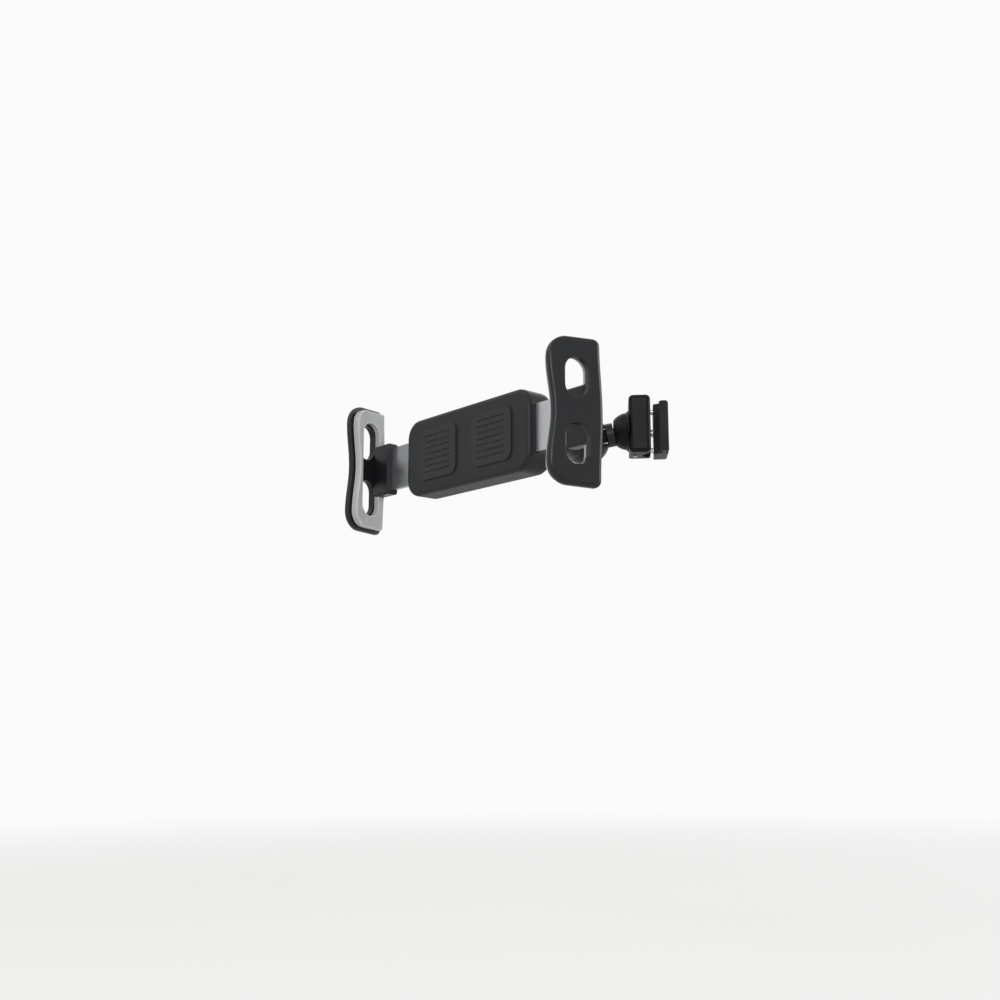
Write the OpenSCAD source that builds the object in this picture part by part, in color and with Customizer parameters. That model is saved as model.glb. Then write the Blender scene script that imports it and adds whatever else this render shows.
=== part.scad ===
// Phone and tablet holder for a headrest post.
// Origin on the post's axis at the middle of the clamp, +Z up, claws facing -Y, millimetres.

/* [Claws] */
// Distance between the outer lip edges of the two claws as drawn
grip_w = 208; // [196:1:212]
// Height of a claw at its lip
claw_h = 88; // [80:1:96]
// Depth of a claw from lip to back edge
claw_d = 34.3; // [33:0.1:35]
// Lean of a claw's plate, lip inward
claw_lean = 15; // [8:1:18]
// Thickness of a claw's shell
shell_t = 4.9; // [4:0.1:5.4]
// Thickness of the soft pad inside a claw
pad_t = 4; // [3:0.1:4.4]
// How far the lip edge is drawn back at mid height
waist = 3.1; // [1:0.1:4]
// How far the back edge bows out at mid height
back_bow = 1.6; // [0.5:0.1:2.5]
// How much lower each end is at the back than at the lip
back_drop = -0.4; // [-1:0.1:3]
// Radius of the corners beside the lip
lip_corner = 13; // [10:0.5:15]
// Radius of the corners at the back
back_corner = 4.5; // [3:0.5:6]
// Rounding of the shell's outer edge
shell_round = 2.2; // [1:0.1:3]
// Width of a window in the shell
window_w = 15.3; // [13:0.1:16]
// Height of a window
window_h = 24.1; // [20:0.1:27]
// Height of a window's centre above or below the middle
window_z = 19.6; // [18:0.1:22]
// Distance from the lip edge to a window
window_u = 10.7; // [10.4:0.1:11.5]
// Distance from the shell's edge to the pad's edge
pad_inset = 2.6; // [1.5:0.1:2.8]
// Height of the pad's front ridge above the pad
ridge_t = 1.6; // [0.8:0.1:2.5]

/* [Head] */
// Width of the head body
head_w = 124; // [118:1:132]
// Height of the head body
head_h = 52; // [48:1:60]
// Thickness of the front cover
front_t = 13.4; // [13:0.1:15]
// Thickness of the rear cover
rear_t = 7.5; // [6.5:0.1:10]
// Radius of the head's corners
head_corner = 12; // [8:0.5:16]
// Rounding of the head's long edges
head_round = 3; // [2:0.1:4]
// Wall of the front cover's face
face_wall = 2.4; // [2:0.1:3]
// Height of the ribs inside the face, which carry the slides
face_rib = 2.4; // [2:0.1:2.6]
// Depth of the gripped space between the lips and the face
grip_depth = 22.3; // [20.5:0.1:22.8]
// Thickness of a face pad above the face
face_pad_t = 1; // [0.5:0.1:2]

/* [Slides] */
// Thickness of a slide plate
slide_t = 2.8; // [2.4:0.1:3]
// Height of a slide plate
slide_h = 30; // [28:0.5:33]
// Travel of a claw inward from the drawn place
travel_in = 27; // [20:1:27]
// Travel of a claw outward from the drawn place
travel_out = 3; // [1:0.5:4]
// Module of the rack and pinion teeth
gear_m = 1.25; // [1.1:0.05:1.3]
// Teeth on the pinion
pinion_teeth = 12; // [12:2:14]
// Radius of the pinion's pin
pin_r = 2; // [1.5:0.1:2.2]

/* [Ball joints and bars] */
// Radius of the ball behind the head
head_ball_r = 10; // [9:0.1:10.5]
// Distance from the head's rear cover to its ball
ball_reach = 16.5; // [16:0.5:20]
// Length from the head's ball to the elbow
long_len = 74; // [70:0.5:110]
// Rise of the two bars' plane towards the post
bar_rise = 15.5; // [0:0.5:18]
// Direction of the short bar, from straight sideways
elbow_turn = 45; // [30:1:70]
// Length from the elbow to the clamp's ball
short_len = 31; // [30.5:0.5:40]
// Radius of both bars
bar_r = 8.35; // [7:0.05:8.5]
// Radius of the elbow's round housing
elbow_r = 17.2; // [17:0.1:18]
// Radius of the ball in the clamp
clamp_ball_r = 7.5; // [7:0.1:7.5]
// Outer radius of the dome over the clamp's ball
dome_r = 13.2; // [13:0.1:13.6]

/* [Post clamp] */
// Radius of the post that the clamp holds
post_r = 6; // [5:0.1:6]
// Thickness of a rubber liner
liner_t = 1; // [0.8:0.1:1.2]
// Thickness of the clamp body between the dome and the post
clamp_t = 15; // [15:0.1:18]
// Height of the clamp body
clamp_h = 41; // [40:1:50]
// Distance from the post's middle plane to each jaw face
jaw_gap = 1.2; // [0.8:0.1:2]
// Travel of the jaw when it opens
jaw_travel = 8; // [6:0.5:8]
// Radius of the clamp's hand knob
knob_r = 7.8; // [7:0.1:7.8]

/* [Hidden] */

$fn = 64;
black = [0.13, 0.135, 0.14];
soft_black = [0.18, 0.185, 0.19];
pale_grey = [0.7, 0.7, 0.71];
steel = [0.72, 0.73, 0.75];

// running clearance on a radius, clearance between sliding faces, and a small cut allowance
fit = 0.05;
gap = 0.2;
cut = 0.5;

// the two bars lie in one plane that rises towards the post by bar_rise
long_dir = [0, cos(bar_rise), sin(bar_rise)];
short_dir = [cos(elbow_turn), sin(elbow_turn) * cos(bar_rise), sin(elbow_turn) * sin(bar_rise)];
yaw = atan2(short_dir[1], short_dir[0]);
toward_post = [cos(yaw), sin(yaw), 0];
ball_drop = 3;
clamp_ball = -(clamp_t + jaw_gap) * toward_post - [0, 0, ball_drop];
elbow = clamp_ball - short_len * short_dir;
head_ball = elbow - long_len * long_dir;

// depths in the head's own frame, measured back from the lips
face_y = grip_depth;
split_y = face_y + front_t;
rear_y = split_y + rear_t;
ball_y = rear_y + ball_reach;
slide_y = face_y + face_wall + face_rib + gap;
slide_step = slide_t + 2 * gap;
lips = head_ball - [0, ball_y, 0];

// rack and pinion
pitch_r = gear_m * pinion_teeth / 2;
pressure = 25;
tip_r = pitch_r + gear_m;
root_r = pitch_r - 1.2 * gear_m;
backlash = 0.16;

module at_head() {
    translate(lips) children();
}

module at_clamp() {
    rotate([0, 0, yaw]) children();
}

module at_elbow() {
    translate(elbow) rotate([bar_rise, 0, 0]) children();
}

// a cylinder along +Y from y0 to y1, at x and z
module bar_y(r, y0, y1, x = 0, z = 0, fn = 64) {
    translate([x, y0, z]) rotate([-90, 0, 0]) cylinder(r = r, h = y1 - y0, $fn = fn);
}

// a cylinder along +X from x0 to x1, at y and z
module bar_x(r, x0, x1, y = 0, z = 0, fn = 64) {
    translate([x0, y, z]) rotate([0, 90, 0]) cylinder(r = r, h = x1 - x0, $fn = fn);
}

// a cone along +X
module cone_x(r0, r1, x0, x1) {
    translate([x0, 0, 0]) rotate([0, 90, 0]) cylinder(r1 = r0, r2 = r1, h = x1 - x0);
}

// a box between two corners
module block(low, high) {
    translate(low) cube(high - low);
}

// a solid through a list of rings that all have the same number of points
module loft(rings) {
    n = len(rings[0]);
    m = len(rings);
    sides = [for (i = [0:m - 2], j = [0:n - 1]) let (k = (j + 1) % n)
        [i * n + j, i * n + k, (i + 1) * n + k, (i + 1) * n + j]];
    first = [for (j = [0:n - 1]) [m * n, (j + 1) % n, j]];
    last = [for (j = [0:n - 1]) [m * n + 1, (m - 1) * n + j, (m - 1) * n + (j + 1) % n]];
    points = concat([for (ring = rings) each ring], [middle(rings[0]), middle(rings[m - 1])]);
    polyhedron(points, concat(first, sides, last), convexity = 6);
}

// mean of a ring's points, from which each end of a loft is fanned out
function middle(ring) = let (ones = [for (p = ring) 1]) ones * ring / len(ring);

function arc(cx, cy, r, a0, a1, steps) =
    [for (i = [0:steps]) let (a = a0 + (a1 - a0) * i / steps) [cx + r * cos(a), cy + r * sin(a)]];

// side outline of a claw, u back from the lip and v up, drawn in by inset
function claw_outline(inset) =
    let (half = claw_h / 2,
        rl = lip_corner - inset,
        rb = max(back_corner - inset, 0.6),
        back_half = half - back_drop,
        lip_v = half - lip_corner,
        back_v = back_half - back_corner,
        tilt = atan(back_drop / (claw_d - back_corner - lip_corner)),
        steps = 9)
    concat(
        [for (i = [-steps + 1:steps - 1]) let (t = i / steps)
            [inset + waist * pow(cos(90 * t), 2), -t * lip_v]],
        arc(lip_corner, -lip_v, rl, 180, 270 + tilt, 6),
        arc(claw_d - back_corner, -back_v, rb, 270 + tilt, 352, 5),
        [for (i = [-4:4]) let (t = i / 5)
            [claw_d - inset + back_bow * pow(cos(90 * t), 2), t * (back_v + 1)]],
        arc(claw_d - back_corner, back_v, rb, 8, 90 - tilt, 5),
        arc(lip_corner, lip_v, rl, 90 - tilt, 180, 6));

// a ring of the claw at depth w inward from the outer face
function claw_ring(inset, w) = [for (p = claw_outline(inset)) [p[0], w, p[1]]];

// places a claw part: first axis back from the lip, second axis inward, third axis up
module at_claw() {
    translate([grip_w / 2, 0, 0]) rotate([0, 0, 90 - claw_lean]) children();
}

module window(y0, y1, grow = 0) {
    r = window_w / 2 + grow;
    reach = window_h / 2 - window_w / 2;
    for (side = [-1, 1]) hull_free_slot(r, window_z * side, reach, y0, y1);
}

// an upright slot with round ends, from y0 to y1
module hull_free_slot(r, z, reach, y0, y1) {
    u = window_u + window_w / 2;
    bar_y(r, y0, y1, u, z - reach);
    bar_y(r, y0, y1, u, z + reach);
    block([u - r, y0, z - reach], [u + r, y1, z + reach]);
}

// the foot joins the claw to its slide, in the head's frame
foot_x0 = grip_w / 2 - 14;
foot_x1 = grip_w / 2 + 7;
slide_end = grip_w / 2 - 3;
foot_h = slide_h + 6;
foot_y0 = slide_y - 1.2;
foot_y1 = slide_y + 2 * slide_step + 1.6;
foot_screw_x = foot_x0 + 6.5;
foot_screw_z = 9;
claw_screw_r = 1.5;
claw_head_r = 2.9;

module foot_solid(grow = 0) {
    block([foot_x0 - grow, foot_y0 - grow, -foot_h / 2 - grow],
        [foot_x1 + grow, foot_y1 + grow, foot_h / 2 + grow]);
}

// slot in the foot that takes the end of the slide of a layer
module foot_slot(layer) {
    y0 = slide_y + layer * slide_step;
    block([foot_x0 - cut, y0 - fit, -slide_h / 2 - fit],
        [slide_end, y0 + slide_t + fit, slide_h / 2 + fit]);
}

module claw(layer) {
    difference() {
        union() {
            at_claw() difference() {
                loft([claw_ring(shell_round, 0), claw_ring(shell_round * 0.5, 0.3),
                    claw_ring(shell_round * 0.15, shell_round * 0.45),
                    claw_ring(0, shell_round), claw_ring(0, shell_t)]);
                window(-cut, shell_t + cut);
            }
            difference() {
                foot_solid();
                at_claw() block([-5, -10, -60], [60, shell_t - 0.4, 60]);
            }
        }
        foot_slot(layer);
        for (side = [-1, 1]) {
            bar_y(claw_screw_r + fit, foot_y0 + 1, foot_y1 + cut, foot_screw_x, side * foot_screw_z);
            bar_y(claw_head_r + fit, foot_y1 - 1.8, foot_y1 + cut, foot_screw_x, side * foot_screw_z);
        }
    }
}

// the pad's slot runs past both windows, its front ridge keeps the device in
module claw_pad() {
    inner = shell_t + pad_t;
    slot_reach = window_z + window_h / 2 - window_w / 2 + 0.4;
    slot_grow = 1.1;
    ridge_u = waist + pad_inset + 2.5;
    difference() {
        at_claw() difference() {
            loft([claw_ring(pad_inset, shell_t), claw_ring(pad_inset, inner + ridge_t - 1.4),
                claw_ring(pad_inset + 0.4, inner + ridge_t - 0.5),
                claw_ring(pad_inset + 1.2, inner + ridge_t)]);
            block([ridge_u, inner, -claw_h], [claw_d + 9, inner + ridge_t + 1, claw_h]);
            hull_free_slot(window_w / 2 + slot_grow, 0, slot_reach, shell_t - cut, inner + ridge_t + 1);
        }
        foot_solid(0.3);
    }
}

module claw_screws() {
    for (side = [-1, 1]) difference() {
        union() {
            bar_y(claw_screw_r, foot_y0 + 1.2, foot_y1 - 1.8, foot_screw_x, side * foot_screw_z);
            bar_y(claw_head_r, foot_y1 - 1.8, foot_y1 - 0.2, foot_screw_x, side * foot_screw_z);
        }
        screw_cross(foot_screw_x, side * foot_screw_z, foot_y1 - 1.2, 3.2);
    }
}

// a cross recess that opens towards +Y
module screw_cross(x, z, y0, size) {
    block([x - size / 2, y0, z - 0.4], [x + size / 2, y0 + 3, z + 0.4]);
    block([x - 0.4, y0, z - size / 2], [x + 0.4, y0 + 3, z + size / 2]);
}

// one side of an involute tooth as [radius, angle] for radii from base to tip
function involute_angle(r) =
    let (base = pitch_r * cos(pressure), a = r > base ? acos(base / r) : 0)
    tan(a) * 180 / PI - a;

function tooth_half_angle(r) =
    (gear_m * PI / 2 - backlash) / 2 / pitch_r * 180 / PI
    + involute_angle(pitch_r) - involute_angle(r);

module pinion_teeth_2d() {
    steps = 6;
    base = max(root_r, pitch_r * cos(pressure));
    radii = [for (i = [0:steps]) base + (tip_r - base) * i / steps];
    difference() {
        union() {
            circle(r = root_r);
            for (k = [0:pinion_teeth - 1]) rotate(360 / pinion_teeth * k) polygon(concat(
                [[root_r * 0.8, -root_r * 0.8 * sin(tooth_half_angle(base))]],
                [for (r = radii) [r * cos(tooth_half_angle(r)), -r * sin(tooth_half_angle(r))]],
                [for (i = [steps:-1:0]) let (r = radii[i])
                    [r * cos(tooth_half_angle(r)), r * sin(tooth_half_angle(r))]],
                [[root_r * 0.8, root_r * 0.8 * sin(tooth_half_angle(base))]]));
        }
        circle(r = pin_r + fit);
    }
}

arbor_r = pin_r + 2.2;
spring_r = 14;
spring_y0 = split_y + 0.3;
spring_y1 = split_y + 3.2;
pinion_y0 = slide_y;
pinion_y1 = slide_y + slide_t + slide_step;
pin_y0 = slide_y - 2;
pin_y1 = spring_y1 + 1.8;

// the pinion meshes with both racks and carries the arbor of the spring
module pinion_wheel() {
    translate([0, pinion_y1, 0]) rotate([90, 0, 0]) linear_extrude(pinion_y1 - pinion_y0)
        pinion_teeth_2d();
    difference() {
        bar_y(arbor_r, pinion_y1, spring_y1);
        bar_y(pin_r + fit, pinion_y1 - cut, spring_y1 + cut);
    }
}

// flat spring wound round the arbor, one strip in a spiral
module spiral_strip() {
    turns = 7;
    steps = 20;
    strip = 0.45;
    r0 = arbor_r + 0.4;
    r1 = spring_r - strip - 0.15;
    n = turns * steps;
    function spiral(i, extra) =
        let (r = r0 + (r1 - r0) * i / n + extra, a = 360 * i / steps)
        [r * cos(a), r * sin(a)];
    translate([0, spring_y1, 0]) rotate([90, 0, 0]) linear_extrude(spring_y1 - spring_y0)
        polygon(concat([for (i = [0:n]) spiral(i, 0)], [for (i = [n:-1:0]) spiral(i, strip)]));
}

slot_in = tip_r + 1 + travel_out;
slot_out = tip_r + 1 + travel_in;
slide_tail = slot_in + 5;
rack_first = -floor((travel_out + 6) / (gear_m * PI));
rack_last = ceil((travel_in + 6) / (gear_m * PI));

// rack teeth point down to the pinion and their pitch line is pitch_r above its axis
module rack_teeth_2d() {
    p = gear_m * PI;
    land = (p / 2 - backlash) / 2;
    lean = gear_m * tan(pressure);
    foot = 1.25 * gear_m * tan(pressure);
    for (k = [rack_first:rack_last]) translate([(k + 0.5) * p, pitch_r])
        polygon([[-land + lean, -gear_m], [land - lean, -gear_m],
            [land + foot, 1.25 * gear_m], [-land - foot, 1.25 * gear_m]]);
}

// right-hand slide: a plate with a long window, teeth along the window's upper edge
module slide_plate(layer) {
    y0 = slide_y + layer * slide_step;
    root_z = pitch_r + 1.25 * gear_m - 0.01;
    translate([0, y0 + slide_t, 0]) rotate([90, 0, 0]) linear_extrude(slide_t) difference() {
        union() {
            difference() {
                translate([-slide_tail, -slide_h / 2]) square([slide_tail + slide_end - gap, slide_h]);
                translate([-slot_in, -tip_r - 0.7]) square([slot_in + slot_out, tip_r + 0.7 + root_z]);
            }
            intersection() {
                rack_teeth_2d();
                translate([-slot_in, -slide_h / 2]) square([slot_in + slot_out, slide_h]);
            }
        }
        for (side = [-1, 1]) translate([foot_screw_x, side * foot_screw_z])
            circle(r = claw_screw_r + fit);
        translate([slot_out + 14, 0]) circle(r = 5);
    }
}

// rounded slab between y0 and y1, with the long edge rounded at the front or at the back
module pillow(y0, y1, front_round, back_round) {
    r = head_corner;
    hull() for (x = [-1, 1], z = [-1, 1])
        translate([x * (head_w / 2 - r), y0, z * (head_h / 2 - r)]) rotate([-90, 0, 0])
            rotate_extrude($fn = 40) rounded_profile(r, y1 - y0, front_round, back_round);
}

// half profile of a disc with rounded rims: x is the radius, y the depth
module rounded_profile(r, t, r0, r1) {
    steps = 4;
    start = r0 > 0 ? arc(r - r0, r0, r0, -90, 0, steps) : [[r, 0]];
    end = r1 > 0 ? arc(r - r1, t - r1, r1, 0, 90, steps) : [[r, t]];
    polygon(concat([[0, 0]], start, end, [[0, t]]));
}

cover_screw_x = head_w / 2 - 9.5;
cover_screw_z = head_h / 2 - 5.6;
cover_screw_r = 1.5;
cavity_x = head_w / 2 - 3;
rib_step = 2 * cavity_x / 7;
face_pad_w = 38;
face_pad_h = 34;
face_pad_x = 27;

module face_pad_solid(y0, y1, grow) {
    r = 6 + grow;
    for (side = [-1, 1]) {
        w = face_pad_w / 2 + grow;
        h = face_pad_h / 2 + grow;
        x = side * face_pad_x;
        block([x - w + r, y0, -h], [x + w - r, y1, h]);
        block([x - w, y0, -h + r], [x + w, y1, h - r]);
        for (i = [-1, 1], j = [-1, 1]) bar_y(r, y0, y1, x + i * (w - r), j * (h - r));
    }
}

module clamp_block_profile() {
    r = 3.2;
    x0 = -clamp_t - jaw_gap;
    hull() for (x = [x0 + r, -jaw_gap - r], y = [-13 + r, 9.6 - r], z = [-1, 1])
        translate([x, y, z * (clamp_h / 2 - r)]) sphere(r = r, $fn = 32);
}

screw_y = 19;
rod_y = 13.6;
rod_z = 14;
rod_r = 2;
screw_r = 3;
web_x = -8.4;
jaw_out = post_r + liner_t + 4.5;
ball_x = -clamp_t - jaw_gap;
skirt_r = 11.4;
skirt_d = 1.8;
ring_r = clamp_ball_r + 1.4;
cap_open = [[4.4, 0], [4.4, 5.5], [11.2, 7.7], [14.5, 8.9], [14.5, 0]];

// revolves a profile given as [distance along -X from the ball, radius]
module round_ball_x(points) {
    translate([ball_x, 0, -ball_drop]) rotate([0, -90, 0])
        rotate_extrude() polygon([for (p = points) [p[1], p[0]]]);
}

module clamp_body() {
    color(black) at_clamp() difference() {
        union() {
            clamp_block_profile();
            for (side = [-1, 1]) hull() for (x = [ball_x + 2.5, -jaw_gap - 2.5], y = [4, 16])
                translate([x, y, side * rod_z - 4.4]) cylinder(r = 2.5, h = 8.8, $fn = 32);
            hull() for (z = [-6, 6]) bar_x(3.2, web_x, -jaw_gap, screw_y + 2, z, 32);
            block([web_x, 5, -9.2], [-jaw_gap, screw_y + 2, 9.2]);
        }
        translate([0, 0, -clamp_h]) cylinder(r = post_r + liner_t, h = 2 * clamp_h);
        translate([ball_x, 0, -ball_drop]) sphere(r = clamp_ball_r + fit);
        round_ball_x([[-skirt_d, 0], [-skirt_d, skirt_r + fit], [cut, skirt_r + fit], [cut, 0]]);
        for (side = [-1, 1]) bar_x(rod_r + fit, ball_x + 1.5, 0, rod_y, side * rod_z);
        bar_x(screw_r + fit, web_x - cut, 0, screw_y, 0);
        translate([ball_x + 4.3, 0, -clamp_h / 2 - 1]) cylinder(r = 1.5 + fit, h = clamp_h / 2 - ball_drop - 4);
    }
}

// rubber strip in the groove of a jaw, on the side given by sign
module groove_liner(sign, from_y) {
    h = clamp_h - 6;
    difference() {
        translate([0, 0, -h / 2]) cylinder(r = post_r + liner_t, h = h);
        translate([0, 0, -h]) cylinder(r = post_r, h = 2 * h);
        if (sign < 0) block([-jaw_gap, -20, -h], [20, 20, h]);
        if (sign > 0) block([-20, -20, -h], [jaw_gap, 20, h]);
        if (sign > 0) block([-20, -20, -h], [20, from_y, h]);
    }
}

module fixed_liner() {
    color(soft_black) at_clamp() groove_liner(-1, 0);
}

// dome that holds the ball in the clamp body, with a skirt screwed into the body
module ball_cap() {
    color(black) at_clamp() difference() {
        union() {
            intersection() {
                translate([ball_x, 0, -ball_drop]) sphere(r = dome_r);
                block([-80, -30, -40], [ball_x, 30, 40]);
            }
            round_ball_x([[0, 0], [0, dome_r + 1.6], [0.6, dome_r + 1.1], [1.4, dome_r + 0.3],
                [2.6, dome_r - 0.6], [2.6, 0]]);
            round_ball_x([[-skirt_d + 0.1, 0], [-skirt_d + 0.1, skirt_r], [0.1, skirt_r], [0.1, 0]]);
        }
        translate([ball_x, 0, -ball_drop]) sphere(r = clamp_ball_r + 0.6);
        round_ball_x([[-skirt_d - cut, 0], [-skirt_d - cut, ring_r + 0.5], [0, ring_r + 0.5],
            [0, ring_r + fit], [5, ring_r + fit], [5, 0]]);
        round_ball_x(cap_open);
    }
}

// ring between the ball and the dome
module friction_ring() {
    color(pale_grey) at_clamp() difference() {
        round_ball_x([[0.3, 0], [0.3, ring_r], [4.8, ring_r], [4.8, 0]]);
        translate([ball_x, 0, -ball_drop]) sphere(r = clamp_ball_r + fit);
    }
}

module tension_screw() {
    z0 = -clamp_h / 2 - 0.8;
    tip_z = -ball_drop - clamp_ball_r + 0.3;
    color(steel) at_clamp() translate([ball_x + 4.3, 0, z0]) difference() {
        cylinder(r = 1.5, h = tip_z - z0);
        translate([0, 0, -cut]) cylinder(r = 0.9, h = 2.5, $fn = 6);
    }
}

jaw_h = clamp_h - 5;
jaw_y0 = -3.4;

// hooked jaw behind the post, drawn in by the screw
module clamp_jaw() {
    color(black) at_clamp() difference() {
        union() {
            hull() {
                translate([0, 0, -jaw_h / 2 + 1]) cylinder(r = jaw_out, h = jaw_h - 2, $fn = 48);
                translate([0, 0, -jaw_h / 2]) cylinder(r = jaw_out - 1, h = jaw_h, $fn = 48);
                for (x = [jaw_gap + 1, jaw_out - 3.5])
                    translate([x, screw_y + 3.4, -jaw_h / 2]) cylinder(r = 2.4, h = jaw_h, $fn = 32);
            }
        }
        block([-60, -60, -60], [jaw_gap, 60, 60]);
        block([-60, -60, -60], [60, jaw_y0, 60]);
        translate([0, 0, -clamp_h]) cylinder(r = post_r + liner_t, h = 2 * clamp_h);
        for (side = [-1, 1]) bar_x(rod_r + fit, 0, jaw_out - 2.5, rod_y, side * rod_z);
        bar_x(screw_r + fit, 0, jaw_out + cut, screw_y, 0);
        for (side = [-1, 1]) hull() for (z = [10.5, 24])
            bar_x(2, jaw_out - 2, jaw_out + 4, 2, side * z, 24);
    }
}

module jaw_liner() {
    color(soft_black) at_clamp() groove_liner(1, jaw_y0);
}

module guide_rods() {
    color(steel) at_clamp() for (side = [-1, 1])
        bar_x(rod_r, ball_x + 2.9, jaw_out - 2.6, rod_y, side * rod_z);
}

module clamp_screw() {
    color(steel) at_clamp() bar_x(screw_r, web_x - 5, jaw_out - 0.5, screw_y, 0);
}

// hand knob beside the clamp body with grip flutes
module clamp_knob() {
    flutes = 10;
    x0 = web_x - 7.4;
    color(black) at_clamp() difference() {
        translate([x0, screw_y, 0]) rotate([0, 90, 0]) rotate_extrude()
            polygon(concat([[0, 0]], arc(knob_r - 1.2, 1.2, 1.2, -90, 0, 4),
                arc(knob_r - 0.8, 6.4, 0.8, 0, 90, 4), [[0, 7.2]]));
        for (k = [0:flutes - 1]) {
            a = 360 / flutes * k;
            bar_x(1.3, x0 - cut, x0 + 9, screw_y + (knob_r + 0.7) * cos(a), (knob_r + 0.7) * sin(a), 24);
        }
        bar_x(screw_r, x0 + 2.4, x0 + 9, screw_y, 0);
    }
}

tongue_t = 9;
washer_t = 0.8;
washer_r = 11.8;
slot_half = tongue_t / 2 + washer_t + 0.06;
bolt_r = 3;
neck_r = 3.5;

// short bar: round tongue that fills the elbow, a collar hollowed to clear both round housings, neck and ball
module short_bar() {
    elbow_clear = elbow_r + 0.3;
    dome_clear = dome_r + 0.3;
    steps = 6;
    radii = [for (i = [0:steps]) neck_r + (bar_r - neck_r) * i / steps];
    root_x = elbow_clear - 1;
    color(black) at_elbow() rotate([0, 0, elbow_turn]) difference() {
        union() {
            rotate([0, 90, 0]) rotate_extrude() polygon(concat([[0, root_x], [neck_r, root_x]],
                [for (r = radii) [r, sqrt(elbow_clear * elbow_clear - r * r)]],
                [for (i = [steps:-1:0]) let (r = radii[i])
                    [r, short_len - sqrt(dome_clear * dome_clear - r * r)]],
                [[neck_r, short_len], [0, short_len]]));
            translate([short_len, 0, 0]) sphere(r = clamp_ball_r);
            intersection() {
                sphere(r = elbow_r - 0.3, $fn = 96);
                block([-40, -40, -tongue_t / 2], [40, 40, tongue_t / 2]);
            }
            block([0, -5.6, -tongue_t / 2], [short_len - dome_clear - 0.2, 5.6, tongue_t / 2]);
        }
        translate([0, 0, -20]) cylinder(r = bolt_r + fit, h = 40);
    }
}

// long bar: round elbow housing, bar, tapered neck and the ball behind the head
module long_bar() {
    neck_d = long_len - head_ball_r;
    color(black) at_elbow() difference() {
        union() {
            sphere(r = elbow_r, $fn = 96);
            rotate([90, 0, 0]) {
                cylinder(r = bar_r, h = long_len - 19);
                translate([0, 0, long_len - 19]) cylinder(r1 = bar_r, r2 = 5, h = 6);
                cylinder(r = 5, h = neck_d + 4);
                translate([0, 0, elbow_r - 3]) cylinder(r1 = bar_r + 3, r2 = bar_r, h = 7);
            }
            translate([0, -long_len, 0]) sphere(r = head_ball_r, $fn = 96);
        }
        translate([0, 0, -slot_half]) cylinder(r = elbow_r + 0.05, h = 2 * slot_half);
        translate([0, 0, -30]) cylinder(r = bolt_r + fit, h = 60);
        translate([0, 0, 10]) cylinder(r = 6, h = 20);
        translate([0, 0, -30]) cylinder(r = 6.2, h = 20, $fn = 6);
    }
}

module elbow_bolt() {
    color(steel) at_elbow() difference() {
        union() {
            translate([0, 0, -13.6]) cylinder(r = bolt_r, h = 23.7);
            translate([0, 0, 10]) rotate_extrude() polygon(concat([[0, 0]],
                [[5.4, 0]], arc(4.8, 2.8, 0.6, 0, 90, 3), [[0, 3.4]]));
        }
        translate([0, 0, 11.4]) cylinder(r = 2.9, h = 5, $fn = 6);
    }
}

module elbow_nut() {
    color(steel) at_elbow() translate([0, 0, -13.2]) difference() {
        cylinder(r = 5.9, h = 3.2, $fn = 6);
        translate([0, 0, -cut]) cylinder(r = bolt_r, h = 5);
    }
}

module elbow_washers() {
    color(pale_grey) at_elbow() for (side = [0, 1]) mirror([0, 0, side])
        translate([0, 0, tongue_t / 2 + 0.03]) difference() {
            cylinder(r = washer_r, h = washer_t);
            translate([0, 0, -cut]) cylinder(r = bolt_r + fit, h = washer_t + 1);
        }
}

seat_r = 12.2;
seat_y0 = ball_y - 7;
seat_y1 = ball_y + 5.6;
sleeve_r = 14.2;
sleeve_end = ball_y + 3.2;

// revolves a profile of [depth, radius] round the head's axis
module round_head(points) {
    rotate([-90, 0, 0]) rotate_extrude() polygon([for (p = points) [p[1], p[0]]]);
}

// ring that grips the ball inside the rear cover's sleeve
module ball_seat() {
    steps = 12;
    hold = head_ball_r + fit;
    a0 = acos((seat_y0 - ball_y) / hold);
    a1 = 57;
    color(pale_grey) at_head() round_head(concat(
        [for (i = [0:steps]) let (a = a0 + (a1 - a0) * i / steps)
            [ball_y + hold * cos(a), hold * sin(a)]],
        [[seat_y1, 9.1], [seat_y1, seat_r - 1.8], [seat_y1 - 1.6, seat_r], [seat_y0, seat_r]]));
}

// fluted ring nut on the sleeve
module lock_ring() {
    flutes = 14;
    y0 = rear_y + 6.6;
    y1 = ball_y + 8.6;
    outer = 18;
    color(black) at_head() difference() {
        round_head(concat([[y0, 0], [y0, outer - 1.2], [y0 + 1.2, outer]],
            [[y1 - 5, outer], [y1 - 1.6, outer - 3.2], [y1, outer - 5.4], [y1, 0]]));
        round_head([[y0 - 1, 0], [y0 - 1, sleeve_r + fit], [sleeve_end + 0.3, sleeve_r + fit],
            [sleeve_end + 0.3, seat_r + 0.3], [seat_y1 - 1.5, seat_r + 0.3],
            [seat_y1 + 0.2, seat_r - 1.6], [seat_y1 + 0.2, 9.8], [y1 + 1, 10.4], [y1 + 1, 0]]);
        for (k = [0:flutes - 1]) {
            a = 360 / flutes * k;
            bar_y(1.7, y0 - 1, y1 - 5.5, (outer + 0.6) * cos(a), (outer + 0.6) * sin(a), 24);
        }
    }
}

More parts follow.
